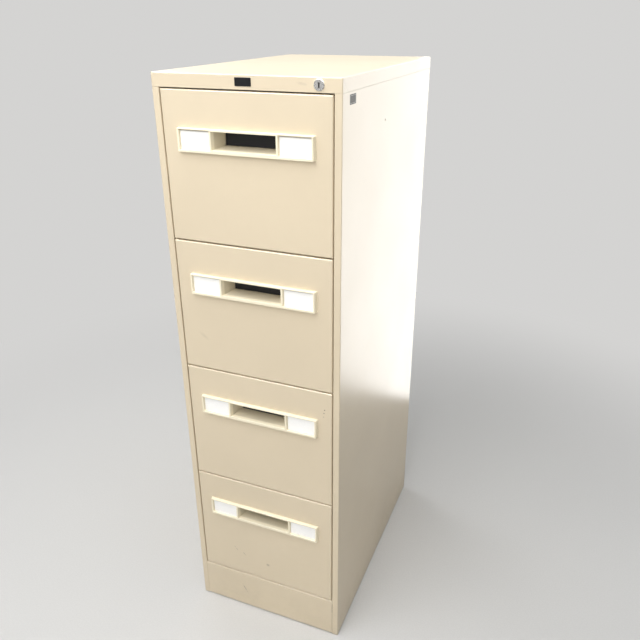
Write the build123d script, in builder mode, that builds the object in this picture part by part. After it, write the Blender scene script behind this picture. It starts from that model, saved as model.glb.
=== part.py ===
"""Four-drawer vertical filing cabinet in folded sheet steel.

Frame: origin at the middle of the base, +X to the user's right, +Y towards the
back, +Z up. The drawers face -Y. All sizes are in millimetres.
"""
import os

from build123d import *

# ---------------------------------------------------------------- driving sizes
WIDTH = 387.0
HEIGHT = 1335.0
FRONT_Y = -311.0  # plane of the drawer fronts and stiles
BACK_Y = 318.0  # outer face of the rear returns
SHEET = 1.0
BEND = 1.5  # centreline radius of the carcass folds
EDGE_RADIUS = 2.0  # outer radius of pressed edges
FRONT_RADIUS = 3.0  # outer radius round each drawer front
KICK_BEND = 2.5  # centreline radius of the kick plate folds
SEAM = 0.4  # visible line between two welded sheets
BASE_GAP = 2.0  # the sheet stops this far above the floor

DRAWERS = 4
DRAWER_PITCH = 298.4
TOP_GAP_Z = 1307.5  # middle of the gap under the top band
GAP = 2.6  # gap above and below each drawer front
SIDE_GAP = 2.0
STILE = 15.0
STILE_RETURN = 18.0

BAND_HEIGHT = 26.0
BAND_RETURN = 14.0
MITRE_RUN = 28.0  # how far the mitre runs back along the side flange
KICK_TOP_Z = 112.4
KICK_RETURN = 30.0

HALF_WIDTH = WIDTH / 2
INNER_X = HALF_WIDTH - SHEET
STILE_X = HALF_WIDTH - STILE
BAND_Z = HEIGHT - BAND_HEIGHT

# drawers
FRONT_HALF = STILE_X - SIDE_GAP
FRONT_HEIGHT = DRAWER_PITCH - GAP
FRONT_DEPTH = 34.0
FRONT_BACK_Y = FRONT_Y + FRONT_DEPTH
FLANGE = 14.0  # rear flange of the drawer front pan
TRAY_HALF = 162.0
TRAY_HEIGHT = 245.0
TRAY_LIFT = 8.0  # tray bottom above the lower edge of the front
TRAY_BACK_Y = 285.0
TRAY_HEM = 8.5
TRAY_PLATE_HALF = 170.0
PLATE_INSET = 4.0
DRAWER_BACK_Y = 271.0
DRAWER_BACK_HEIGHT = 214.0
DRAWER_BACK_FLANGE = 12.0

# slides
RAIL_SHEET = 1.5
RAIL_START_Y = -274.0
RAIL_LENGTH = 560.0
RAIL_Z = 130.0  # slide centre above the lower edge of the front
UPRIGHT_X = 176.5  # face that carries the cabinet rails
UPRIGHT_DEPTH = 40.0
UPRIGHT_TOP_Z = 1288.0
UPRIGHT_FRONT_Y = -270.0
UPRIGHT_REAR_Y = 236.0

# handle
HANDLE_DROP = 93.5  # centre below the gap line
HANDLE_PROUD = 8.0
HANDLE_BASE = (288.0, 46.0)
HANDLE_FACE = (283.0, 45.0)
HANDLE_WALL = 2.0
POCKET_FRONT_HALF = 68.0
POCKET_BACK_HALF = 57.0
POCKET_LOW = -15.8  # below the handle centre
POCKET_HIGH = 18.8
POCKET_BACK_Y = -284.0
POCKET_RISE = 4.3  # the pocket floor rises this far to the back
WINDOW_INNER = 72.0
WINDOW_OUTER = 138.0
WINDOW_LOW = -17.7
WINDOW_HIGH = 20.0
WINDOW_DEPTH = 6.0
CARD_SLOT = 1.6  # deeper slot above each card
CARD_SLOT_DEPTH = 7.4
CARD_MARGIN = 1.0
CARD_SHEET = 0.5
HANDLE_FRONT_Y = FRONT_Y - HANDLE_PROUD
POCKET_FLARE = (POCKET_FRONT_HALF - POCKET_BACK_HALF) / (POCKET_BACK_Y - HANDLE_FRONT_Y)

# latch paddle
PADDLE_HALF = 55.3
PADDLE_LOW = -10.5
PADDLE_HIGH = 17.0
PADDLE_SHEET = 3.0
PADDLE_FACE_Y = -283.0
LATCH_PIN_RADIUS = 1.5
LATCH_BORE_RADIUS = 1.55
LATCH_PIN_Y = -280.2
LATCH_PIN_Z = 15.0
LATCH_EAR_X = 56.5
LATCH_EAR = 4.5

# lock
LOCK_X = 150.3
LOCK_Z = HEIGHT - 13.2
LOCK_RING_RADIUS = 10.0
LOCK_BARREL_RADIUS = 8.0
LOCK_PLUG_RADIUS = 5.5
LOCK_BORE_RADIUS = 5.6
LOCK_PROUD = 1.5
LOCK_BACK_Y = -290.0
CAM_THROW = 7.0
CAM_SHEET = 2.5
CAM_PIN_RADIUS = 1.5
BAR_X = 183.0  # inner edge of the lock bar
BAR_WIDTH = 5.0
BAR_FRONT_Y = -286.0
BAR_SHEET = 3.0
HOOK_DROP = 60.0  # hook below the upper edge of each drawer front
HOOK_REACH = 9.5
HOOK_HEIGHT = 6.0

# small parts
JOIN_HOLE_RADIUS = 2.75
JOIN_HOLE_Y = FRONT_Y + 255.0
JOIN_HOLE_Z = HEIGHT - 102.0
RIVET_RADIUS = 1.6
RIVET_HOLE_RADIUS = 1.7
RIVET_HEAD_RADIUS = 3.0
RIVET_HEAD = 1.0
RIVET_ROWS = 8
RIVET_PITCH = 170.0
RIVET_X = 183.0
REAR_RETURN = 20.0
FOOT_X = 160.0
FOOT_FRONT_Y = -264.0
FOOT_REAR_Y = 290.0
CHANNEL_WIDTH = 42.0
CHANNEL_HEIGHT = 22.0

os.makedirs("parts", exist_ok=True)


# ---------------------------------------------------------------- helpers
def facing(y):
    """Plane across the cabinet at depth y: sketch x is X, sketch y is Z, normal -Y."""
    return Plane.XZ.offset(-y)


def save(builder, label):
    """Label a finished piece and write its file."""
    builder.part.label = label
    export_step(builder.part, f"parts/{label}.step")


def gap_z(k):
    """Height of the gap line above drawer k, counted from the top."""
    return TOP_GAP_Z - (k - 1) * DRAWER_PITCH


def front_top(k):
    return gap_z(k) - GAP / 2


def front_bottom(k):
    return gap_z(k + 1) + GAP / 2


def handle_z(k):
    return gap_z(k) - HANDLE_DROP


# ---------------------------------------------------------------- carcass
def side_panel(side, label):
    """One folded sheet: stile return, front stile, side, rear return (side is -1 or 1)."""
    half = SHEET / 2
    outer = side * (HALF_WIDTH - half)
    stile = side * (STILE_X + half)
    section = [
        (stile, FRONT_Y + STILE_RETURN),
        (stile, FRONT_Y + half),
        (outer, FRONT_Y + half),
        (outer, BACK_Y - half),
        (outer - side * REAR_RETURN, BACK_Y - half),
    ]
    strip_low, strip_high, strip_margin = 1290.0, 1330.0, 2.5
    strip_length = BACK_Y - FRONT_Y - 2 * strip_margin
    strip_centre = (FRONT_Y + BACK_Y) / 2
    with BuildPart() as panel:
        with BuildSketch(Plane.XY.offset(BASE_GAP)):
            with BuildLine():
                FilletPolyline(*section, radius=BEND)
            trace(line_width=SHEET)
        extrude(amount=BAND_Z - SEAM - BASE_GAP)
        # joggled strip that the side flange of the top cap is welded to
        with BuildSketch(Plane.XY.offset(strip_low)):
            with Locations((side * (INNER_X - half), strip_centre)):
                Rectangle(SHEET, strip_length)
        extrude(amount=strip_high - strip_low)
        with Locations(Plane.YZ.offset(side * (HALF_WIDTH - half))):
            with Locations((JOIN_HOLE_Y, JOIN_HOLE_Z)):
                Cylinder(JOIN_HOLE_RADIUS, 3 * SHEET, mode=Mode.SUBTRACT)
        with Locations(facing(BACK_Y - half)):
            with Locations((side * RIVET_X, HEIGHT / 2)):
                with GridLocations(0, RIVET_PITCH, 1, RIVET_ROWS):
                    Cylinder(RIVET_HOLE_RADIUS, 3 * SHEET, mode=Mode.SUBTRACT)
    save(panel, label)


def cap_shell():
    """Pressed tray that forms the whole top, before the front band is parted from it."""
    depth = BACK_Y - FRONT_Y
    with BuildPart() as shell:
        with BuildSketch(Plane.XY.offset(BAND_Z)):
            with Locations((0, (FRONT_Y + BACK_Y) / 2)):
                Rectangle(WIDTH, depth)
        extrude(amount=BAND_HEIGHT)
        fillet(shell.edges().filter_by(Axis.Z), EDGE_RADIUS)
        fillet(shell.faces().sort_by(Axis.Z)[-1].edges(), EDGE_RADIUS)
        offset(amount=-SHEET, openings=shell.faces().sort_by(Axis.Z)[0])
    return shell.part


def mitre_wedge(shift):
    """Prism in front of the mitre, moved back by shift."""
    reach = 10.0
    run = MITRE_RUN / BAND_HEIGHT
    with BuildPart() as wedge:
        with BuildSketch(Plane.YZ.offset(-HALF_WIDTH - reach)):
            with BuildLine():
                Polyline(
                    (FRONT_Y - reach, HEIGHT + reach),
                    (FRONT_Y + shift - reach * run, HEIGHT + reach),
                    (FRONT_Y + shift + MITRE_RUN + reach * run, BAND_Z - reach),
                    (FRONT_Y - reach, BAND_Z - reach),
                    close=True,
                )
            make_face()
        extrude(amount=WIDTH + 2 * reach)
    return wedge.part


def top_cap():
    """Top sheet with its side and rear flanges."""
    with BuildPart() as cap:
        add(cap_shell())
        add(mitre_wedge(SHEET + SEAM), mode=Mode.SUBTRACT)
    save(cap, "top_cap")


def top_front_band():
    """Front band: wraps both corners, turned back along its lower edge, bored for the lock."""
    lock_clear = 0.15
    with BuildPart() as band:
        add(cap_shell())
        add(mitre_wedge(SHEET), mode=Mode.INTERSECT)
        with BuildSketch(Plane.XY.offset(BAND_Z)):
            with Locations((0, FRONT_Y + SHEET + BAND_RETURN / 2)):
                Rectangle(2 * STILE_X, BAND_RETURN)
        extrude(amount=SHEET)
        with BuildSketch(facing(FRONT_Y + 2 * SHEET)):
            with Locations((LOCK_X, LOCK_Z)):
                Circle(LOCK_BARREL_RADIUS + lock_clear)
        extrude(amount=3 * SHEET, mode=Mode.SUBTRACT)
    save(band, "top_front_band")


def kick_plate():
    """Channel between the stiles, closed below the lowest drawer."""
    half = SHEET / 2
    section = [
        (FRONT_Y + KICK_RETURN, KICK_TOP_Z - half),
        (FRONT_Y + half, KICK_TOP_Z - half),
        (FRONT_Y + half, BASE_GAP + half),
        (FRONT_Y + KICK_RETURN, BASE_GAP + half),
    ]
    length = 2 * (STILE_X - SEAM)
    with BuildPart() as plate:
        with BuildSketch(Plane.YZ.offset(-length / 2)):
            with BuildLine():
                FilletPolyline(*section, radius=KICK_BEND)
            trace(line_width=SHEET)
        extrude(amount=length)
    save(plate, "kick_plate")


def bottom_panel():
    """Floor of the carcass, welded under the kick plate's upper return."""
    start_y = FRONT_Y + STILE_RETURN + SHEET
    end_y = BACK_Y - 2.5 * SHEET
    with BuildPart() as panel:
        with BuildSketch(Plane.XY.offset(KICK_TOP_Z - 2 * SHEET)):
            with Locations((0, (start_y + end_y) / 2)):
                Rectangle(2 * INNER_X, end_y - start_y)
        extrude(amount=SHEET)
    save(panel, "bottom_panel")


def back_panel():
    """Sheet riveted inside the rear returns."""
    with BuildPart() as panel:
        with BuildSketch(facing(BACK_Y - SHEET)):
            with Locations((0, (BASE_GAP + HEIGHT - 2 * EDGE_RADIUS) / 2)):
                Rectangle(2 * (INNER_X - SHEET), HEIGHT - 2 * EDGE_RADIUS - BASE_GAP)
            for side in (-1, 1):
                with Locations((side * RIVET_X, HEIGHT / 2)):
                    with GridLocations(0, RIVET_PITCH, 1, RIVET_ROWS):
                        Circle(RIVET_HOLE_RADIUS, mode=Mode.SUBTRACT)
        extrude(amount=SHEET)
    save(panel, "back_panel")


def back_rivets():
    """Blind rivets: domed head outside, shank, swollen tail inside."""
    head = RIVET_HEAD_RADIUS
    tail_radius, tail_length = 2.4, 3.0
    with BuildPart() as rivets:
        for side in (-1, 1):
            with Locations(facing(BACK_Y)):
                with Locations((side * RIVET_X, HEIGHT / 2)):
                    with GridLocations(0, RIVET_PITCH, 1, RIVET_ROWS):
                        Cylinder(RIVET_RADIUS, 2 * SHEET, align=(Align.CENTER, Align.CENTER, Align.MIN))
                        Cone(head / 2, head, RIVET_HEAD, align=(Align.CENTER, Align.CENTER, Align.MAX))
            with Locations(facing(BACK_Y - 2 * SHEET)):
                with Locations((side * RIVET_X, HEIGHT / 2)):
                    with GridLocations(0, RIVET_PITCH, 1, RIVET_ROWS):
                        Cylinder(tail_radius, tail_length, align=(Align.CENTER, Align.CENTER, Align.MIN))
    save(rivets, "back_rivets")


def base_channel(centre_y, label):
    """Inverted channel across the base, drilled for two levelling feet."""
    half = SHEET / 2
    low = BASE_GAP + SHEET
    front, back = centre_y - CHANNEL_WIDTH / 2, centre_y + CHANNEL_WIDTH / 2
    section = [
        (front + half, low),
        (front + half, low + CHANNEL_HEIGHT - half),
        (back - half, low + CHANNEL_HEIGHT - half),
        (back - half, low),
    ]
    stud_hole = 4.2
    with BuildPart() as channel:
        with BuildSketch(Plane.YZ.offset(-INNER_X)):
            with BuildLine():
                FilletPolyline(*section, radius=BEND)
            trace(line_width=SHEET)
        extrude(amount=2 * INNER_X)
        with BuildSketch(Plane.XY.offset(low)):
            with Locations((0, centre_y)):
                with GridLocations(2 * FOOT_X, 0, 2, 1):
                    Circle(stud_hole)
        extrude(amount=2 * CHANNEL_HEIGHT, mode=Mode.SUBTRACT)
    save(channel, label)


def levelling_feet():
    """Four screw feet: nylon pad, stud through the channel, nut on top of it."""
    pad_radius, pad_height, stud_radius, stud_top = 14.0, 8.0, 4.0, 42.0
    nut_flats, nut_height = 13.0, 6.5
    web_top = BASE_GAP + SHEET + CHANNEL_HEIGHT
    centre_y = (FOOT_FRONT_Y + FOOT_REAR_Y) / 2
    span_y = FOOT_REAR_Y - FOOT_FRONT_Y
    with BuildPart() as feet:
        with BuildSketch():
            with Locations((0, centre_y)):
                with GridLocations(2 * FOOT_X, span_y, 2, 2):
                    Circle(pad_radius)
        extrude(amount=pad_height)
        chamfer(feet.edges().group_by(Axis.Z)[-1], SHEET)
        with BuildSketch(Plane.XY.offset(pad_height)):
            with Locations((0, centre_y)):
                with GridLocations(2 * FOOT_X, span_y, 2, 2):
                    Circle(stud_radius)
        extrude(amount=stud_top - pad_height)
        with BuildSketch(Plane.XY.offset(web_top)):
            with Locations((0, centre_y)):
                with GridLocations(2 * FOOT_X, span_y, 2, 2):
                    RegularPolygon(nut_flats / 2, 6, major_radius=False)
        extrude(amount=nut_height)
    save(feet, "levelling_feet")


def upright(side, start_y, label):
    """Channel that stands on the bottom panel and carries the cabinet rails."""
    half = SHEET / 2
    face = side * (UPRIGHT_X + half)
    section = [
        (side * INNER_X, start_y + half),
        (face, start_y + half),
        (face, start_y + UPRIGHT_DEPTH - half),
        (side * INNER_X, start_y + UPRIGHT_DEPTH - half),
    ]
    low = KICK_TOP_Z - SHEET
    with BuildPart() as post:
        with BuildSketch(Plane.XY.offset(low)):
            with BuildLine():
                FilletPolyline(*section, radius=BEND)
            trace(line_width=SHEET)
        extrude(amount=UPRIGHT_TOP_Z - low)
    save(post, label)


# ---------------------------------------------------------------- slides
def rail_pair(label, centre_z, web_x, lip_x, half_height):
    """A left and a right channel section: web at web_x, lips reaching to lip_x."""
    half = RAIL_SHEET / 2
    lip_z = half_height - half
    with BuildPart() as rails:
        for side in (-1, 1):
            section = [
                (side * lip_x, centre_z + lip_z),
                (side * web_x, centre_z + lip_z),
                (side * web_x, centre_z - lip_z),
                (side * lip_x, centre_z - lip_z),
            ]
            with BuildSketch(facing(RAIL_START_Y)):
                with BuildLine():
                    FilletPolyline(*section, radius=BEND)
                trace(line_width=RAIL_SHEET)
            extrude(amount=-RAIL_LENGTH)
    save(rails, label)


def slide_rails(k):
    """Three nested members: fixed to the uprights, floating, and fixed to the tray."""
    centre_z = front_bottom(k) + RAIL_Z
    half = RAIL_SHEET / 2
    rail_pair(f"cabinet_rails_{k}", centre_z, UPRIGHT_X - half, 166.0, 22.5)
    rail_pair(f"intermediate_rails_{k}", centre_z, 173.0 - half, 165.0, 18.7)
    rail_pair(f"drawer_rails_{k}", centre_z, TRAY_HALF + half, 170.0, 14.4)


# ---------------------------------------------------------------- drawers
def drawer_front(k):
    """Pressed pan with a cut-out for the handle and a slot for the lock hook."""
    bottom, top = front_bottom(k), front_top(k)
    centre_z = (bottom + top) / 2
    hook_z = top - HOOK_DROP
    cut_clear = 1.7
    slot_over, slot_under, slot_depth = 6.0, 14.0, 15.0
    with BuildPart() as front:
        with BuildSketch(facing(FRONT_BACK_Y)):
            with Locations((0, centre_z)):
                Rectangle(2 * FRONT_HALF, FRONT_HEIGHT)
        extrude(amount=FRONT_DEPTH)
        fillet(front.faces().sort_by(Axis.Y)[0].edges(), FRONT_RADIUS)
        offset(amount=-SHEET, openings=front.faces().sort_by(Axis.Y)[-1])
        with BuildSketch(facing(FRONT_BACK_Y)):
            with Locations((0, centre_z)):
                Rectangle(2 * FRONT_HALF, FRONT_HEIGHT)
                Rectangle(2 * (FRONT_HALF - FLANGE), FRONT_HEIGHT - 2 * FLANGE, mode=Mode.SUBTRACT)
        extrude(amount=SHEET)
        with BuildSketch(facing(FRONT_Y + 2 * SHEET)):
            with Locations((0, handle_z(k) + (POCKET_LOW + POCKET_HIGH) / 2)):
                Rectangle(
                    2 * (POCKET_FRONT_HALF + HANDLE_WALL + cut_clear),
                    POCKET_HIGH - POCKET_LOW + 2 * (HANDLE_WALL + cut_clear),
                )
        extrude(amount=3 * SHEET, mode=Mode.SUBTRACT)
        with BuildSketch(facing(FRONT_BACK_Y + SHEET)):
            with Locations((FRONT_HALF - SHEET, hook_z - (slot_under - slot_over) / 2)):
                Rectangle(SHEET * 5, slot_over + slot_under)
        extrude(amount=slot_depth + SHEET, mode=Mode.SUBTRACT)
    save(front, f"drawer_front_{k}")


def drawer_tray(k):
    """Folded trough with hemmed sides, welded to the plate that closes the front pan."""
    half = SHEET / 2
    low = front_bottom(k) + TRAY_LIFT + half
    high = low + TRAY_HEIGHT - SHEET
    wall = TRAY_HALF - half
    section = [
        (TRAY_HEM - TRAY_HALF, high),
        (-wall, high),
        (-wall, low),
        (wall, low),
        (wall, high),
        (TRAY_HALF - TRAY_HEM, high),
    ]
    plate_low, plate_high = front_bottom(k) + PLATE_INSET, front_top(k) - PLATE_INSET
    with BuildPart() as tray:
        with BuildSketch(facing(TRAY_BACK_Y)):
            with BuildLine():
                FilletPolyline(*section, radius=BEND)
            trace(line_width=SHEET)
        extrude(amount=TRAY_BACK_Y - FRONT_BACK_Y)
        with BuildSketch(facing(FRONT_BACK_Y + SHEET)):
            with Locations((0, (plate_low + plate_high) / 2)):
                Rectangle(2 * TRAY_PLATE_HALF, plate_high - plate_low)
        extrude(amount=SHEET)
    save(tray, f"drawer_tray_{k}")


def drawer_back(k):
    """Rear wall with a flange along each side, standing on the tray bottom."""
    half = SHEET / 2
    wall = TRAY_HALF - SHEET - half
    section = [
        (-wall, DRAWER_BACK_Y - DRAWER_BACK_FLANGE),
        (-wall, DRAWER_BACK_Y - half),
        (wall, DRAWER_BACK_Y - half),
        (wall, DRAWER_BACK_Y - DRAWER_BACK_FLANGE),
    ]
    low = front_bottom(k) + TRAY_LIFT + BEND + SHEET
    with BuildPart() as back:
        with BuildSketch(Plane.XY.offset(low)):
            with BuildLine():
                FilletPolyline(*section, radius=BEND)
            trace(line_width=SHEET)
        extrude(amount=DRAWER_BACK_HEIGHT)
        # foot that reaches the tray bottom between its bend radii
        with BuildSketch(Plane.XY.offset(low - BEND)):
            with Locations((0, DRAWER_BACK_Y - half)):
                Rectangle(2 * (wall - 2 * BEND), SHEET)
        extrude(amount=BEND)
    save(back, f"drawer_back_{k}")


def pocket_section(y, half_width, low, high):
    """Rectangle of the finger pocket at depth y, measured from the handle centre."""
    with BuildSketch(facing(y)) as section:
        with Locations((0, (low + high) / 2)):
            Rectangle(2 * half_width, high - low)
    return section.sketch


def pocket_cavity(low, high):
    """Hollow of the finger pocket: narrows to the back, its floor rising to the latch paddle."""
    mouth_y = HANDLE_FRONT_Y - SHEET
    mouth_half = POCKET_BACK_HALF + POCKET_FLARE * (POCKET_BACK_Y - mouth_y)
    with BuildPart() as cavity:
        add(pocket_section(mouth_y, mouth_half, low, high))
        add(pocket_section(POCKET_BACK_Y, POCKET_BACK_HALF, low + POCKET_RISE, high))
        loft()
    return cavity.part


def handle(k):
    """Moulded handle: tapered bezel, finger pocket, two label windows, clips and latch ears."""
    centre_z = handle_z(k)
    low, high = centre_z + POCKET_LOW, centre_z + POCKET_HIGH
    corner, rim = 2.0, 0.8
    pocket_end = POCKET_BACK_Y + HANDLE_WALL
    base_half = POCKET_BACK_HALF + POCKET_FLARE * (POCKET_BACK_Y - FRONT_Y)
    opening_low, opening_high = low + POCKET_RISE, centre_z + PADDLE_HIGH + rim
    clip_x, clip_length, clip_y, clip_depth = 38.0, 24.0, FRONT_Y + SHEET + 0.2, 3.0
    clip_reach = 3.2
    ear_span = 2 * LATCH_EAR_X + LATCH_EAR
    ear_height, ear_depth = 7.2, 5.0
    with BuildPart() as grip:
        # bezel, slightly smaller at the face than at the base
        with BuildSketch(facing(FRONT_Y)):
            with Locations((0, centre_z)):
                RectangleRounded(*HANDLE_BASE, corner)
        with BuildSketch(facing(HANDLE_FRONT_Y)):
            with Locations((0, centre_z)):
                RectangleRounded(*HANDLE_FACE, corner)
        loft()
        # pocket body through the drawer front, narrowing to the back
        add(pocket_section(FRONT_Y, base_half + HANDLE_WALL, low - HANDLE_WALL, high + HANDLE_WALL))
        add(pocket_section(pocket_end, POCKET_BACK_HALF + HANDLE_WALL, low - HANDLE_WALL, high + HANDLE_WALL))
        loft()
        add(pocket_cavity(low, high), mode=Mode.SUBTRACT)
        # opening for the latch paddle
        with BuildSketch(facing(pocket_end + SHEET)):
            with Locations((0, (opening_low + opening_high) / 2)):
                Rectangle(2 * LATCH_EAR_X, opening_high - opening_low)
        extrude(amount=HANDLE_WALL + 2 * SHEET, mode=Mode.SUBTRACT)
        # label windows
        with BuildSketch(facing(HANDLE_FRONT_Y + WINDOW_DEPTH)):
            with Locations((0, centre_z + (WINDOW_LOW + WINDOW_HIGH) / 2)):
                with GridLocations(WINDOW_INNER + WINDOW_OUTER, 0, 2, 1):
                    Rectangle(WINDOW_OUTER - WINDOW_INNER, WINDOW_HIGH - WINDOW_LOW)
        extrude(amount=2 * WINDOW_DEPTH, mode=Mode.SUBTRACT)
        with BuildSketch(facing(HANDLE_FRONT_Y + CARD_SLOT_DEPTH)):
            with Locations((0, centre_z + WINDOW_HIGH - CARD_SLOT / 2)):
                with GridLocations(WINDOW_INNER + WINDOW_OUTER, 0, 2, 1):
                    Rectangle(WINDOW_OUTER - WINDOW_INNER, CARD_SLOT)
        extrude(amount=CARD_SLOT_DEPTH, mode=Mode.SUBTRACT)
        fillet(grip.faces().sort_by(Axis.Y)[0].edges(), rim)
        # four clips behind the drawer front
        with BuildSketch(facing(clip_y + clip_depth)):
            with Locations((0, (low + high) / 2)):
                with GridLocations(2 * clip_x, high - low + HANDLE_WALL + clip_reach, 2, 2):
                    Rectangle(clip_length, HANDLE_WALL + clip_reach)
        extrude(amount=clip_depth)
        # ears with the latch bores
        with BuildSketch(facing(pocket_end + ear_depth - SHEET)):
            with Locations((0, centre_z + LATCH_PIN_Z)):
                with GridLocations(ear_span, 0, 2, 1):
                    Rectangle(LATCH_EAR, ear_height)
        extrude(amount=ear_depth)
        with Locations(Plane.YZ):
            with Locations((LATCH_PIN_Y, centre_z + LATCH_PIN_Z)):
                Cylinder(LATCH_BORE_RADIUS, 4 * LATCH_EAR_X, mode=Mode.SUBTRACT)
    save(grip, f"handle_{k}")


def label_cards(k):
    """Two cards lying on the floor of the label windows."""
    width = WINDOW_OUTER - WINDOW_INNER - 2 * CARD_MARGIN
    height = WINDOW_HIGH - WINDOW_LOW - CARD_SLOT
    with BuildPart() as cards:
        with BuildSketch(facing(HANDLE_FRONT_Y + WINDOW_DEPTH)):
            with Locations((0, handle_z(k) + WINDOW_LOW + height / 2)):
                with GridLocations(WINDOW_INNER + WINDOW_OUTER, 0, 2, 1):
                    RectangleRounded(width, height, CARD_MARGIN)
        extrude(amount=CARD_SHEET)
    save(cards, f"label_cards_{k}")


def latch_paddle(k):
    """Paddle that the fingers pull, hung on two pins along its upper edge."""
    centre_z = handle_z(k)
    pin_length = LATCH_EAR_X + LATCH_EAR - SHEET / 2
    edge = 0.6
    with BuildPart() as paddle:
        with BuildSketch(facing(PADDLE_FACE_Y + PADDLE_SHEET)):
            with Locations((0, centre_z + (PADDLE_LOW + PADDLE_HIGH) / 2)):
                Rectangle(2 * PADDLE_HALF, PADDLE_HIGH - PADDLE_LOW)
        extrude(amount=PADDLE_SHEET)
        fillet(paddle.faces().sort_by(Axis.Y)[0].edges(), edge)
        with Locations(Plane.YZ):
            with Locations((LATCH_PIN_Y, centre_z + LATCH_PIN_Z)):
                Cylinder(LATCH_PIN_RADIUS, 2 * pin_length)
    save(paddle, f"latch_paddle_{k}")


# ---------------------------------------------------------------- lock
def lock_housing():
    """Barrel with its face ring, bored for the plug."""
    with BuildPart() as housing:
        with BuildSketch(facing(FRONT_Y)):
            with Locations((LOCK_X, LOCK_Z)):
                Circle(LOCK_RING_RADIUS)
        extrude(amount=LOCK_PROUD)
        fillet(housing.faces().sort_by(Axis.Y)[0].edges(), LOCK_PROUD / 2)
        with BuildSketch(facing(LOCK_BACK_Y - SHEET / 2)):
            with Locations((LOCK_X, LOCK_Z)):
                Circle(LOCK_BARREL_RADIUS)
        extrude(amount=LOCK_BACK_Y - SHEET / 2 - FRONT_Y)
        with BuildSketch(facing(LOCK_BACK_Y)):
            with Locations((LOCK_X, LOCK_Z)):
                Circle(LOCK_BORE_RADIUS)
        extrude(amount=LOCK_BACK_Y - FRONT_Y + 2 * LOCK_PROUD, mode=Mode.SUBTRACT)
    save(housing, "lock_housing")


def lock_nut():
    """Hexagon nut that clamps the barrel behind the band."""
    with BuildPart() as nut:
        with BuildSketch(facing(FRONT_Y + 6 * SHEET)):
            with Locations((LOCK_X, LOCK_Z)):
                RegularPolygon(LOCK_RING_RADIUS, 6, major_radius=False)
                Circle(LOCK_BARREL_RADIUS, mode=Mode.SUBTRACT)
        extrude(amount=5 * SHEET)
    save(nut, "lock_nut")


def lock_plug():
    """Turning plug with an upright keyway."""
    keyway_width, keyway_height, keyway_depth = 3.0, 9.0, 12.0
    face_y = FRONT_Y - LOCK_PROUD - 0.3
    with BuildPart() as plug:
        with BuildSketch(facing(LOCK_BACK_Y)):
            with Locations((LOCK_X, LOCK_Z)):
                Circle(LOCK_PLUG_RADIUS)
        extrude(amount=LOCK_BACK_Y - face_y)
        with BuildSketch(facing(face_y + keyway_depth)):
            with Locations((LOCK_X, LOCK_Z)):
                Rectangle(keyway_width, keyway_height)
        extrude(amount=2 * keyway_depth, mode=Mode.SUBTRACT)
    save(plug, "lock_plug")


def lock_cam():
    """Arm on the back of the plug with the pin that lowers the lock bar."""
    hub_radius, tip_radius = 6.0, 3.2
    with BuildPart() as cam:
        with BuildSketch(facing(LOCK_BACK_Y + CAM_SHEET)):
            with Locations((LOCK_X, LOCK_Z)):
                Circle(hub_radius)
            with Locations((LOCK_X + CAM_THROW, LOCK_Z)):
                Circle(tip_radius)
            with Locations((LOCK_X + CAM_THROW / 2, LOCK_Z)):
                Rectangle(CAM_THROW, 2 * tip_radius)
        extrude(amount=CAM_SHEET)
        with BuildSketch(facing(BAR_FRONT_Y + BAR_SHEET + SHEET)):
            with Locations((LOCK_X + CAM_THROW, LOCK_Z)):
                Circle(CAM_PIN_RADIUS)
        extrude(amount=BAR_FRONT_Y + BAR_SHEET + SHEET - LOCK_BACK_Y - CAM_SHEET)
    save(cam, "lock_cam")


def lock_bar():
    """Upright bar with one hook for each drawer and a windowed arm over the lock cam."""
    low, high, arm_low, arm_start = 150.0, 1331.0, 1316.3, 140.0
    window_margin, window_half = 3.0, 3.5
    right = BAR_X + BAR_WIDTH
    with BuildPart() as bar:
        with BuildSketch(facing(BAR_FRONT_Y + BAR_SHEET)):
            with Locations((BAR_X + BAR_WIDTH / 2, (low + high) / 2)):
                Rectangle(BAR_WIDTH, high - low)
            with Locations(((arm_start + right) / 2, (arm_low + high) / 2)):
                Rectangle(right - arm_start, high - arm_low)
            for k in range(1, DRAWERS + 1):
                with Locations((BAR_X - (HOOK_REACH - SHEET) / 2, front_top(k) - HOOK_DROP)):
                    Rectangle(HOOK_REACH + SHEET, HOOK_HEIGHT)
            with Locations((LOCK_X + CAM_THROW / 2, LOCK_Z)):
                Rectangle(CAM_THROW + 2 * window_margin, 2 * window_half, mode=Mode.SUBTRACT)
        extrude(amount=BAR_SHEET)
    save(bar, "lock_bar")


def lock_bar_guides():
    """Staples welded to the right side panel, one below each drawer hook."""
    half = RAIL_SHEET / 2
    clear = 0.75
    guide_height, guide_drop = 15.0, 120.0
    near, far = BAR_FRONT_Y - clear - half, BAR_FRONT_Y + BAR_SHEET + clear + half
    wall, tip = INNER_X - half, BAR_X - SHEET
    with BuildPart() as guides:
        for k in range(1, DRAWERS + 1):
            with BuildSketch(Plane.XY.offset(front_top(k) - guide_drop)):
                with BuildLine():
                    Polyline((tip, near), (wall, near), (wall, far), (tip, far))
                trace(line_width=RAIL_SHEET)
            extrude(amount=guide_height)
    save(guides, "lock_bar_guides")


# ---------------------------------------------------------------- plates
def name_plate():
    """Small blank plate close to the middle of the top band."""
    width, height, sheet, drop, aside = 33.0, 15.0, 1.0, 12.5, 2.4
    with BuildPart() as plate:
        with BuildSketch(facing(FRONT_Y)):
            with Locations((aside, HEIGHT - drop)):
                RectangleRounded(width, height, sheet)
        extrude(amount=sheet)
        chamfer(plate.faces().sort_by(Axis.Y)[0].edges(), sheet / 4)
    save(plate, "name_plate")


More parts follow.
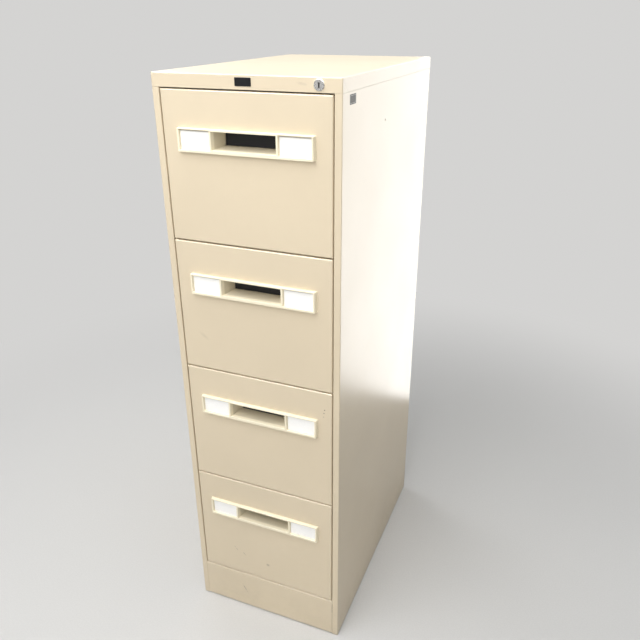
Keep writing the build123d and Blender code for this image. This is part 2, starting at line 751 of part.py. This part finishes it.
def side_label():
    """Small blank label on the right side panel, near the front."""
    length, height, sheet, set_back, drop = 32.0, 17.5, 0.2, 52.5, 39.8
    with BuildPart() as label:
        with BuildSketch(Plane.YZ.offset(HALF_WIDTH)):
            with Locations((FRONT_Y + set_back, HEIGHT - drop)):
                RectangleRounded(length, height, SHEET)
        extrude(amount=sheet)
    save(label, "side_label")


# ---------------------------------------------------------------- build
side_panel(-1, "side_panel_left")
side_panel(1, "side_panel_right")
top_cap()
top_front_band()
kick_plate()
bottom_panel()
back_panel()
back_rivets()
base_channel(FOOT_FRONT_Y, "base_channel_front")
base_channel(FOOT_REAR_Y, "base_channel_rear")
levelling_feet()
upright(-1, UPRIGHT_FRONT_Y, "upright_front_left")
upright(1, UPRIGHT_FRONT_Y, "upright_front_right")
upright(-1, UPRIGHT_REAR_Y, "upright_rear_left")
upright(1, UPRIGHT_REAR_Y, "upright_rear_right")
for drawer in range(1, DRAWERS + 1):
    slide_rails(drawer)
    drawer_front(drawer)
    drawer_tray(drawer)
    drawer_back(drawer)
    handle(drawer)
    label_cards(drawer)
    latch_paddle(drawer)
lock_housing()
lock_nut()
lock_plug()
lock_cam()
lock_bar()
lock_bar_guides()
name_plate()
side_label()
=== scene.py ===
"""Looks of the four-drawer filing cabinet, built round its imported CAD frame. Metres, +Z up."""
import math

import bpy
from mathutils import Matrix, Vector


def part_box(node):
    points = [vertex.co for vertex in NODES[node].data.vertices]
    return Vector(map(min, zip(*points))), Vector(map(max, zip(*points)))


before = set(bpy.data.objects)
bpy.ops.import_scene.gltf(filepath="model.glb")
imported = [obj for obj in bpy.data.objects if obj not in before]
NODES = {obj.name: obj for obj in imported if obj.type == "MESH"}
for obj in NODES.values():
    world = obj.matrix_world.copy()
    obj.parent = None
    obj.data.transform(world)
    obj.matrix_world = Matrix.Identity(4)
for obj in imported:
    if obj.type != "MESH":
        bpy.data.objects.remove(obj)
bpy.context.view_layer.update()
DRAWERS = (1, 2, 3, 4)

# ------------------------------------------------------------------ colours, linear RGB
PAINT = (0.66, 0.563, 0.412)
INNER_PAINT = (0.60, 0.515, 0.39)
IVORY = (0.83, 0.755, 0.575)
# painted shade for the inside of the grip pockets and the card slots
POCKET_SHADE = (0.60, 0.53, 0.39)
CARD = (0.92, 0.915, 0.90)
BLACK = (0.012, 0.012, 0.014)
PLATE_BLACK = (0.006, 0.006, 0.007)
LABEL_GREY = (0.16, 0.155, 0.145)
CHROME = (0.62, 0.61, 0.595)
ZINC = (0.56, 0.57, 0.59)
NYLON = (0.03, 0.03, 0.032)
GRIME = (0.17, 0.14, 0.10)
FLOOR = (0.62, 0.615, 0.605)
HORIZON = (0.66, 0.655, 0.645)
ZENITH = (0.22, 0.218, 0.215)

FRAME_TONE = (0.42, 0.41, 0.38)

# ------------------------------------------------------------------ lengths in metres
FRAME_INSET = 0.0022  # printed line on the side label, from its edge
FRAME_LINE = 0.0009
MARK_DEPTH = 0.01  # marks reach this far into the sheet, past its thickness
CARD_TOP_SHADE = 0.0030  # height of the painted shade along the top of a card
DIRT_TOP = 0.16  # the film of floor dirt ends at this height
RECESS = (0.0062, 0.010)  # depths behind a handle's face over which its colour turns to the painted shade of its pocket
FLOOR_HALF = 14.0
FLOOR_FADE = (0.8, 2.0)  # distances over which the floor turns into the surroundings


# ------------------------------------------------------------------ node-tree helper
class Graph:
    """One material's node tree, with short calls for the nodes that the materials share."""

    def __init__(self, name):
        self.material = bpy.data.materials.new(name)
        self.material.use_nodes = True
        self.tree = self.material.node_tree
        self.tree.nodes.clear()
        self.output = self.node("ShaderNodeOutputMaterial")
        self.place = self.node("ShaderNodeTexCoord").outputs["Object"]

    def node(self, kind, inputs=None, **settings):
        made = self.tree.nodes.new(kind)
        for key, value in settings.items():
            setattr(made, key, value)
        for key, value in (inputs or {}).items():
            if isinstance(value, bpy.types.NodeSocket):
                self.tree.links.new(value, made.inputs[key])
            else:
                made.inputs[key].default_value = value
        return made

    def noise(self, scale, detail=2.0, rough=0.5, stretch=None, offset=(0, 0, 0)):
        """Noise from 0 to 1; stretch multiplies the coordinates along each axis."""
        place = self.place
        if stretch or offset != (0, 0, 0):
            place = self.node(
                "ShaderNodeMapping",
                {"Vector": place, "Location": offset, "Scale": stretch or (1, 1, 1)},
            ).outputs[0]
        made = self.node(
            "ShaderNodeTexNoise",
            {"Vector": place, "Scale": scale, "Detail": detail, "Roughness": rough},
        )
        return made.outputs["Fac"]

    def math(self, operation, a, b=0.0, clamp=False):
        """One Math node."""
        return self.node("ShaderNodeMath", {0: a, 1: b}, operation=operation, use_clamp=clamp).outputs[0]

    def remap(self, value, low, high, to_low=0.0, to_high=1.0, smooth=True):
        made = self.node(
            "ShaderNodeMapRange",
            {"Value": value, "From Min": low, "From Max": high, "To Min": to_low, "To Max": to_high},
        )
        made.interpolation_type = "SMOOTHSTEP" if smooth else "LINEAR"
        return made.outputs[0]

    def mix(self, share, a, b):
        """Colour a where share is 0 and b where it is 1."""
        a, b = (c if isinstance(c, bpy.types.NodeSocket) else (*c, 1.0) for c in (a, b))
        return self.node("ShaderNodeMix", {0: share, 6: a, 7: b}, data_type="RGBA").outputs[2]

    def mark(self, centre, size, turn=0.0, edge=0.55):
        """1 inside an ellipsoid that is turned about Y by turn degrees, 0 outside it."""
        local = self.node(
            "ShaderNodeMapping",
            {
                "Vector": self.place,
                "Location": centre,
                "Rotation": (0, math.radians(turn), 0),
                "Scale": size,
            },
            vector_type="TEXTURE",
        ).outputs[0]
        reach = self.node("ShaderNodeVectorMath", {0: local}, operation="LENGTH").outputs["Value"]
        return self.remap(reach, 1.0, edge)

    def axis(self, name):
        return self.node("ShaderNodeSeparateXYZ", {0: self.place}).outputs[name]

    def bump(self, height, distance, strength=1.0, below=None):
        inputs = {"Height": height, "Distance": distance, "Strength": strength}
        if below is not None:
            inputs["Normal"] = below
        return self.node("ShaderNodeBump", inputs).outputs[0]

    def surface(self, **inputs):
        """Ends the material in one Principled shader and returns the material."""
        named = {key.replace("_", " "): value for key, value in inputs.items()}
        shader = self.node("ShaderNodeBsdfPrincipled", named)
        self.tree.links.new(shader.outputs[0], self.output.inputs["Surface"])
        return self.material


def scaled(colour, factor):
    return tuple(c * factor for c in colour)


# ------------------------------------------------------------------ materials
def paint(name, tone, marks=(), specks=(), scratches=()):
    """Baked satin enamel on sheet steel: orange peel, slight waviness, handling marks.

    marks are soft smudges, specks are small dark chips and scratches are fine lines, each as
    (centre, size, turn, strength)."""
    g = Graph(name)
    cloud = g.noise(3.1, detail=4)
    colour = g.mix(g.remap(cloud, 0.3, 0.7), scaled(tone, 0.975), scaled(tone, 1.02))
    mottle = g.noise(46, detail=3, rough=0.6)
    colour = g.mix(g.remap(mottle, 0.42, 0.72, 0.0, 0.10), colour, scaled(tone, 0.93))
    # thin film of dirt that thickens towards the floor
    low = g.remap(g.axis("Z"), DIRT_TOP, 0.0, 0.0, 0.12)
    dirt = g.math("MULTIPLY", low, g.remap(g.noise(28, detail=5, rough=0.7), 0.35, 0.7))
    rough_share = dirt
    colour = g.mix(dirt, colour, scaled(tone, 0.55))
    for centre, size, turn, strength in marks:
        broken = g.remap(g.noise(90, detail=4, rough=0.7), 0.25, 0.75, 0.35, 1.0)
        share = g.math("MULTIPLY", g.mark(centre, size, turn, 0.1), broken)
        share = g.math("MULTIPLY", share, strength)
        colour = g.mix(share, colour, GRIME)
        rough_share = g.math("ADD", rough_share, share)
    for centre, size, turn, strength in specks:
        share = g.math("MULTIPLY", g.mark(centre, size, turn, 0.6), strength)
        colour = g.mix(share, colour, scaled(GRIME, 0.35))
    depth = None
    for centre, size, turn, strength in scratches:
        line = g.mark(centre, size, turn, 0.3)
        broken = g.math("MULTIPLY", line, g.remap(g.noise(160, detail=2), 0.35, 0.6))
        colour = g.mix(g.math("MULTIPLY", broken, strength), colour, scaled(GRIME, 1.2))
        depth = broken if depth is None else g.math("ADD", depth, broken)
    rough = g.remap(g.noise(9, detail=3), 0.3, 0.7, 0.29, 0.33, smooth=False)
    rough = g.math("ADD", rough, g.math("MULTIPLY", rough_share, 0.5), clamp=True)
    wave = g.bump(g.noise(2.6, detail=1), 0.002)
    peel = g.bump(g.noise(620, detail=1), 0.000018, below=wave)
    normal = peel if depth is None else g.bump(g.math("MULTIPLY", depth, -1.0), 0.00012, below=peel)
    return g.surface(Base_Color=colour, Roughness=rough, Normal=normal, IOR=1.5, Specular_IOR_Level=0.5)


def moulded_plastic(
    name, tone, rough=0.42, grain=0.00003, soil=0.10, gloss=0.5, recess=None, frame_of=None
):
    """Injection-moulded plastic with a fine eroded grain and a little soil in it.

    recess is the depth in Y over which it turns to a painted shade, for the grip pocket and card
    slots. frame_of names a plate on a side face that gets a pale line just inside its edge."""
    g = Graph(name)
    cloud = g.noise(14, detail=3)
    colour = g.mix(g.remap(cloud, 0.3, 0.7), scaled(tone, 0.975), scaled(tone, 1.02))
    if recess:
        # painted shade: darker with depth into the grip pocket and the card slots
        colour = g.mix(g.remap(g.axis("Y"), *recess, 0.0, 0.85), colour, POCKET_SHADE)
    if frame_of:
        low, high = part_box(frame_of)
        middle, half = (low + high) / 2, (high - low) / 2
        across = g.math("ABSOLUTE", g.math("SUBTRACT", g.axis("Y"), middle.y))
        up = g.math("ABSOLUTE", g.math("SUBTRACT", g.axis("Z"), middle.z))
        inside = g.math("MINIMUM", g.math("SUBTRACT", half.y, across), g.math("SUBTRACT", half.z, up))
        line = g.math("COMPARE", inside, FRAME_INSET)
        line.node.inputs[2].default_value = FRAME_LINE / 2
        colour = g.mix(line, colour, FRAME_TONE)
    soil_share = g.remap(g.noise(120, detail=5, rough=0.7), 0.52, 0.75, 0.0, soil)
    colour = g.mix(soil_share, colour, scaled(tone, 0.6))
    roughness = g.remap(g.noise(60, detail=2), 0.3, 0.7, rough - 0.04, rough + 0.05, smooth=False)
    normal = g.bump(g.noise(1500, detail=2), grain)
    return g.surface(
        Base_Color=colour, Roughness=roughness, Normal=normal, IOR=1.49, Specular_IOR_Level=gloss
    )


def paper(name):
    """Plain card: faint fibres and slightly toned."""
    g = Graph(name)
    fibre = g.noise(900, detail=3, rough=0.7, stretch=(0.25, 1, 1))
    colour = g.mix(g.remap(fibre, 0.35, 0.65), scaled(CARD, 0.965), CARD)
    colour = g.mix(g.remap(g.noise(30, detail=2), 0.4, 0.8, 0.0, 0.25), colour, scaled(CARD, 0.95))
    # painted shade along the upper edge of every card, where its window's top lip shades it
    card_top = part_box("label_cards_1")[1].z
    pitch = card_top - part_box("label_cards_2")[1].z
    down = g.math("SUBTRACT", card_top + CARD_TOP_SHADE / 10, g.axis("Z"))
    below_top = g.math("FLOORED_MODULO", down, pitch)
    colour = g.mix(g.remap(below_top, CARD_TOP_SHADE, 0.0, 0.0, 0.75), colour, scaled(GRIME, 1.5))
    normal = g.bump(fibre, 0.00002)
    return g.surface(Base_Color=colour, Roughness=0.75, Normal=normal)


def metal(name, tone, rough, grain_scale, stretch, spangle=0.0, relief=0.00002):
    """Plated or drawn metal with a directional grain, or a zinc spangle."""
    g = Graph(name)
    grain = g.noise(grain_scale, detail=3, rough=0.6, stretch=stretch)
    colour = g.mix(g.remap(grain, 0.3, 0.7), scaled(tone, 0.9), scaled(tone, 1.05))
    if spangle:
        cells = g.node("ShaderNodeTexVoronoi", {"Vector": g.place, "Scale": 140.0}).outputs["Color"]
        facet = g.node("ShaderNodeSeparateColor", {0: cells}).outputs[0]
        colour = g.mix(g.math("MULTIPLY", facet, spangle), colour, scaled(tone, 0.65))
    roughness = g.remap(grain, 0.3, 0.7, rough - 0.05, rough + 0.07, smooth=False)
    normal = g.bump(grain, relief)
    return g.surface(Base_Color=colour, Metallic=1.0, Roughness=roughness, Normal=normal)


# ------------------------------------------------------------------ where the marks lie
def front_spot(node, across, down):
    """Point on a front face: across from its middle and down from its upper edge, in metres."""
    low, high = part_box(node)
    return ((low.x + high.x) / 2 + across, low.y, high.z - down)


def smudge(node, across, down, width, height, turn, strength):
    """One mark on a front face: half sizes in metres, turn in degrees, strength from 0 to 1."""
    return (front_spot(node, across, down), (width, MARK_DEPTH, height), turn, strength)


def assign(material, *names):
    """Gives CAD nodes their material."""
    for name in names:
        piece = NODES[name]
        piece.data.materials.clear()
        piece.data.materials.append(material)


def numbered(*stems):
    return [f"{stem}_{k}" for stem in stems for k in DRAWERS]


assign(paint("beige_enamel", PAINT), "side_panel_left", "back_panel", "top_cap", "side_panel_right")
assign(
    paint(
        "beige_enamel_band",
        PAINT,
        marks=[smudge("top_front_band", 0.118, 0.012, 0.014, 0.004, 10, 0.28)],
        specks=[smudge("top_front_band", -0.037, 0.001, 0.0012, 0.0009, 0, 0.8)],
    ),
    "top_front_band",
)
assign(
    paint(
        "beige_enamel_kick",
        PAINT,
        marks=[smudge("kick_plate", -0.066, 0.053, 0.014, 0.003, 60, 0.15)],
        scratches=[
            smudge("kick_plate", -0.066, 0.053, 0.020, 0.0013, 60, 0.9),
            smudge("kick_plate", 0.045, 0.040, 0.012, 0.0006, 5, 0.3),
        ],
    ),
    "kick_plate",
)
# smudges, specks and scratches of each drawer front; every front also has worn paint under its handle
DRAWER_MARKS = {
    2: [(-0.125, 0.215, 0.020, 0.006, 35, 0.16)],
    4: [(0.0046, 0.243, 0.0065, 0.006, 0, 0.8)],
}
DRAWER_SPECKS = {
    3: [
        (0.1595, 0.042, 0.0018, 0.0018, 0, 0.75),
        (0.158, 0.050, 0.0016, 0.0018, 0, 0.7),
        (0.157, 0.0595, 0.0014, 0.0014, 0, 0.5),
    ],
}
DRAWER_SCRATCHES = {
    4: [(-0.085, 0.218, 0.011, 0.0012, 50, 0.7), (-0.062, 0.229, 0.009, 0.0012, 45, 0.6)],
}
UNDER_HANDLE = (0.0, 0.135, 0.10, 0.03, 0, 0.03)
for k in DRAWERS:
    front = f"drawer_front_{k}"
    worn = [UNDER_HANDLE, *DRAWER_MARKS.get(k, [])]
    kinds = (worn, DRAWER_SPECKS.get(k, []), DRAWER_SCRATCHES.get(k, []))
    marks, specks, scratches = ([smudge(front, *spot) for spot in spots] for spots in kinds)
    assign(paint(f"beige_enamel_drawer_{k}", PAINT, marks, specks, scratches), front)
assign(
    paint("inner_enamel", INNER_PAINT),
    "bottom_panel",
    "base_channel_front",
    "base_channel_rear",
    "upright_front_left",
    "upright_front_right",
    "upright_rear_left",
    "upright_rear_right",
    "lock_bar_guides",
    *numbered("drawer_tray", "drawer_back"),
)
handle_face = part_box("handle_1")[0].y
assign(
    moulded_plastic("ivory_plastic", IVORY, recess=[handle_face + depth for depth in RECESS]),
    *numbered("handle"),
)
assign(
    moulded_plastic("black_plastic", BLACK, rough=0.5, grain=0.00005, soil=0.3, gloss=0.3),
    *numbered("latch_paddle"),
)
assign(
    moulded_plastic("plate_black", PLATE_BLACK, rough=0.35, grain=0.00001, soil=0.0, gloss=0.3),
    "name_plate",
)
assign(
    moulded_plastic(
        "label_grey", LABEL_GREY, rough=0.6, grain=0.00001, gloss=0.15, frame_of="side_label"
    ),
    "side_label",
)
assign(moulded_plastic("black_nylon", NYLON, rough=0.5, grain=0.00006), "levelling_feet")
assign(paper("label_card"), *numbered("label_cards"))
assign(metal("lock_chrome", CHROME, 0.28, 400, (1, 0.05, 1)), "lock_housing", "lock_plug")
assign(
    metal("zinc_plate", ZINC, 0.38, 70, (1, 0.1, 1), spangle=0.5),
    "lock_nut",
    "lock_cam",
    "lock_bar",
    *numbered("cabinet_rails", "intermediate_rails", "drawer_rails"),
)
assign(metal("rivet_aluminium", (0.62, 0.61, 0.59), 0.35, 300, (1, 1, 1)), "back_rivets")


# ------------------------------------------------------------------ stage, light and camera
def make_floor():
    """Plain pale floor that runs into the equally pale surroundings a few metres away."""
    data = bpy.data.meshes.new("floor")
    corners = [(x * FLOOR_HALF, y * FLOOR_HALF, 0) for x, y in ((-1, -1), (1, -1), (1, 1), (-1, 1))]
    data.from_pydata(corners, [], [(0, 1, 2, 3)])
    floor = bpy.data.objects.new("floor", data)
    bpy.context.scene.collection.objects.link(floor)
    g = Graph("pale_floor")
    colour = g.mix(g.remap(g.noise(260, detail=3), 0.3, 0.7), scaled(FLOOR, 0.98), scaled(FLOOR, 1.02))
    reach = g.node("ShaderNodeVectorMath", {0: g.place}, operation="LENGTH").outputs["Value"]
    far = g.remap(reach, *FLOOR_FADE)
    near = g.node("ShaderNodeBsdfDiffuse", {"Color": colour})
    glow = g.node("ShaderNodeEmission", {"Color": (*HORIZON, 1)})
    blend = g.node("ShaderNodeMixShader", {0: far, 1: near.outputs[0], 2: glow.outputs[0]})
    g.tree.links.new(blend.outputs[0], g.output.inputs["Surface"])
    data.materials.append(g.material)


def area_light(name, place, aim, size, power, colour=(1, 1, 1)):
    """Rectangular light of so many watts, at place and facing aim, that the camera can't see."""
    data = bpy.data.lights.new(name, "AREA")
    data.shape = "RECTANGLE"
    data.size, data.size_y = size
    data.energy = power
    data.color = colour
    light = bpy.data.objects.new(name, data)
    light.location = place
    light.rotation_mode = "QUATERNION"
    light.rotation_quaternion = (Vector(aim) - Vector(place)).to_track_quat("-Z", "Y")
    light.visible_camera = False
    bpy.context.scene.collection.objects.link(light)
    return light


def make_world():
    """Even light all round, palest at the horizon."""
    world = bpy.data.worlds.new("studio")
    world.use_nodes = True
    tree = world.node_tree
    place = tree.nodes.new("ShaderNodeTexCoord")
    split = tree.nodes.new("ShaderNodeSeparateXYZ")
    rise = tree.nodes.new("ShaderNodeMapRange")
    rise.interpolation_type = "SMOOTHSTEP"
    rise.inputs["From Min"].default_value = 0.05
    rise.inputs["From Max"].default_value = 0.45
    sky = tree.nodes.new("ShaderNodeMix")
    sky.data_type = "RGBA"
    sky.inputs[6].default_value = (*HORIZON, 1)
    sky.inputs[7].default_value = (*ZENITH, 1)
    background = tree.nodes["Background"]
    tree.links.new(place.outputs["Generated"], split.inputs[0])
    tree.links.new(split.outputs["Z"], rise.inputs["Value"])
    tree.links.new(rise.outputs[0], sky.inputs[0])
    tree.links.new(sky.outputs[2], background.inputs["Color"])
    background.inputs["Strength"].default_value = 1.0
    bpy.context.scene.world = world


def make_camera():
    """Standing eye height, a little to the right of the front, looking down at the cabinet."""
    yaw, pitch, roll = 0.3882, -0.4366, -0.0046
    ahead = Vector((-math.sin(yaw) * math.cos(pitch), math.cos(yaw) * math.cos(pitch), math.sin(pitch)))
    right = Vector((math.cos(yaw), math.sin(yaw), 0))
    up = right.cross(ahead)
    level_right = math.cos(roll) * right + math.sin(roll) * up
    level_up = math.cos(roll) * up - math.sin(roll) * right
    data = bpy.data.cameras.new("camera")
    data.lens = 36.77
    data.sensor_width = 36.0
    camera = bpy.data.objects.new("camera", data)
    turn = Matrix((level_right, level_up, -ahead)).transposed().to_4x4()
    camera.matrix_world = Matrix.Translation((0.5977, -1.4062, 1.4303)) @ turn
    bpy.context.scene.collection.objects.link(camera)
    bpy.context.scene.camera = camera


make_floor()
make_world()
area_light("front", (-0.35, -1.5, 2.7), (0, -0.3, 0.9), (2.0, 1.6), 46)
far_ceiling = area_light("far_ceiling", (0.0, -4.0, 2.5), (0.0, -0.3, 0.7), (3.0, 1.6), 43)
area_light("overhead", (0.1, 0.0, 2.7), (0.1, 0.0, 0.0), (1.6, 1.6), 30, (0.95, 0.98, 1.0))
white_wall = area_light("white_wall", (1.5, 0.62, 1.3), (1.5, -1.0, 1.3), (2.8, 2.3), 60)
ceiling_panels = area_light("ceiling_panels", (0.0, -1.2, 2.9), (0.0, -1.2, 0.0), (3.2, 2.4), 340)
area_light("left_fill", (-2.4, 1.6, 2.0), (-0.2, 0.2, 0.8), (1.6, 1.6), 22)
# not reflected, so that the chrome lock keeps its contrast
far_ceiling.visible_glossy = False
# seen only as reflections: on the side panel, and on the rounded upper edges of the drawers
white_wall.visible_diffuse = False
ceiling_panels.visible_diffuse = False
make_camera()
bpy.context.scene.view_settings.view_transform = "Standard"
